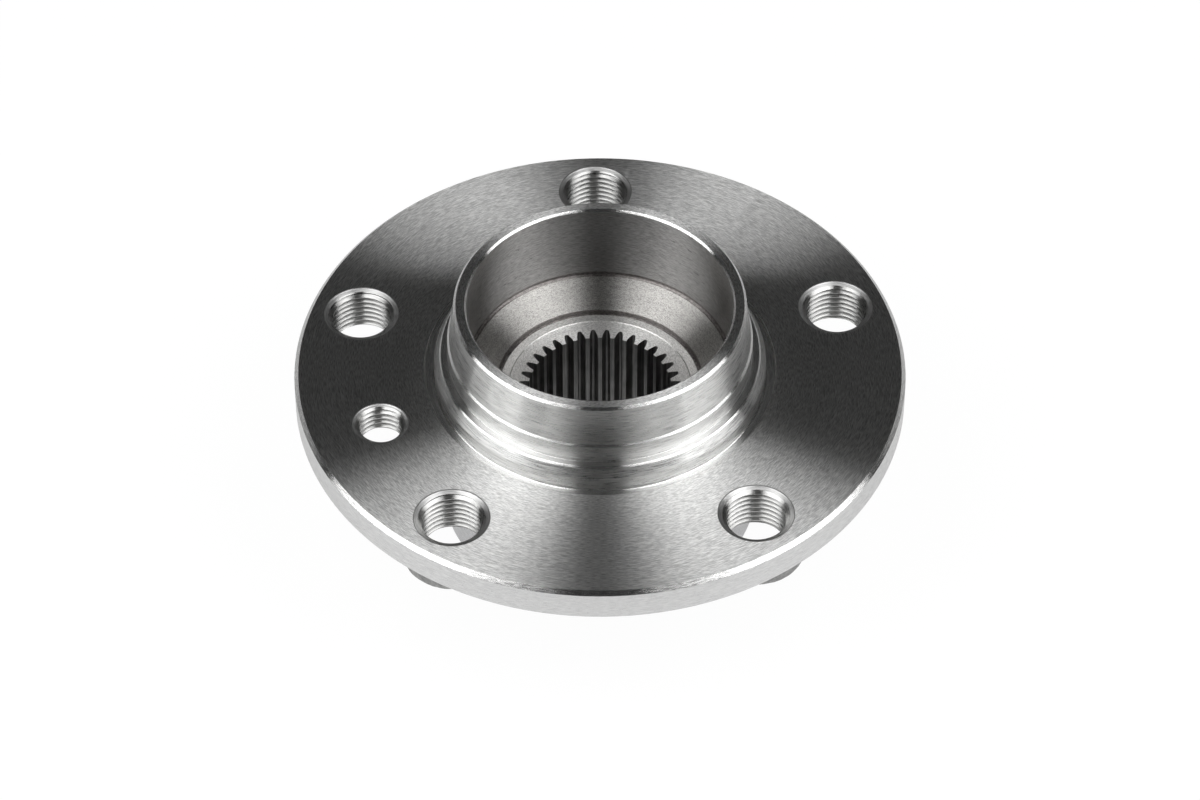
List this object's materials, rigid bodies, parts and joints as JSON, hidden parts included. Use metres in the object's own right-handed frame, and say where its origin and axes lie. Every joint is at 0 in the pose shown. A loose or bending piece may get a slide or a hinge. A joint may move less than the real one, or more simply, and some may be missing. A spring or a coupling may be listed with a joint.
{
  "type": "driven wheel hub with bearing",
  "caption": "Driven wheel hub: a machined bolt flange with a centring collar and a splined bore, turning in a sealed double-row ball bearing.",
  "frame": {"origin": "centre of the disc register, in the plane of the flange's wheel face", "axes": "+Z along the hub's axis towards the wheel, +X and +Y in the wheel face"},
  "size_m": [0.1456, 0.1456, 0.068],
  "materials": {
    "machined_hub_steel": "forged steel, turned and finely brushed on the machined faces, satin",
    "bearing_ring_steel": "ground bearing steel",
    "ball_steel": "polished bearing steel",
    "cage_polyamide": "moulded polyamide",
    "pressed_seal_steel": "pressed sheet steel",
    "seal_rubber": "moulded nitrile rubber",
    "encoder_rubber": "smooth magnetic rubber",
    "spring_steel": "blued spring steel"
  },
  "bodies": {
    "carrier_side": {"outer_ring": "bearing_ring_steel", "outboard_seal_case": "pressed_seal_steel", "inboard_seal_case": "pressed_seal_steel", "outboard_seal_lips": "seal_rubber", "inboard_seal_lips": "seal_rubber"},
    "wheel_side": {"hub": "machined_hub_steel", "outboard_inner_ring": "bearing_ring_steel", "inboard_inner_ring": "bearing_ring_steel", "inner_ring_clip": "spring_steel", "outboard_flinger": "pressed_seal_steel", "inboard_flinger": "pressed_seal_steel", "encoder_ring": "encoder_rubber"},
    "outboard_ball_row": {"outboard_cage": "cage_polyamide", "outboard_ball_01": "ball_steel", "outboard_ball_02": "ball_steel", "outboard_ball_03": "ball_steel", "outboard_ball_04": "ball_steel", "outboard_ball_05": "ball_steel", "outboard_ball_06": "ball_steel", "outboard_ball_07": "ball_steel", "outboard_ball_08": "ball_steel", "outboard_ball_09": "ball_steel", "outboard_ball_10": "ball_steel", "outboard_ball_11": "ball_steel", "outboard_ball_12": "ball_steel", "outboard_ball_13": "ball_steel", "outboard_ball_14": "ball_steel", "outboard_ball_15": "ball_steel"},
    "inboard_ball_row": {"inboard_cage": "cage_polyamide", "inboard_ball_01": "ball_steel", "inboard_ball_02": "ball_steel", "inboard_ball_03": "ball_steel", "inboard_ball_04": "ball_steel", "inboard_ball_05": "ball_steel", "inboard_ball_06": "ball_steel", "inboard_ball_07": "ball_steel", "inboard_ball_08": "ball_steel", "inboard_ball_09": "ball_steel", "inboard_ball_10": "ball_steel", "inboard_ball_11": "ball_steel", "inboard_ball_12": "ball_steel", "inboard_ball_13": "ball_steel", "inboard_ball_14": "ball_steel", "inboard_ball_15": "ball_steel"}
  },
  "joints": [
    {"name": "hub_spin", "type": "hinge", "parent": "carrier_side", "child": "wheel_side", "pos_m": [0, 0, 0], "axis": [0, 0, 1], "continuous": true},
    {"name": "outboard_row_spin", "type": "hinge", "parent": "carrier_side", "child": "outboard_ball_row", "pos_m": [0, 0, 0], "axis": [0, 0, 1], "continuous": true},
    {"name": "inboard_row_spin", "type": "hinge", "parent": "carrier_side", "child": "inboard_ball_row", "pos_m": [0, 0, 0], "axis": [0, 0, 1], "continuous": true}
  ],
  "couplings": [
    {"joint": "outboard_row_spin", "follows": "hub_spin", "ratio": 0.44206},
    {"joint": "inboard_row_spin", "follows": "hub_spin", "ratio": 0.44206}
  ]
}
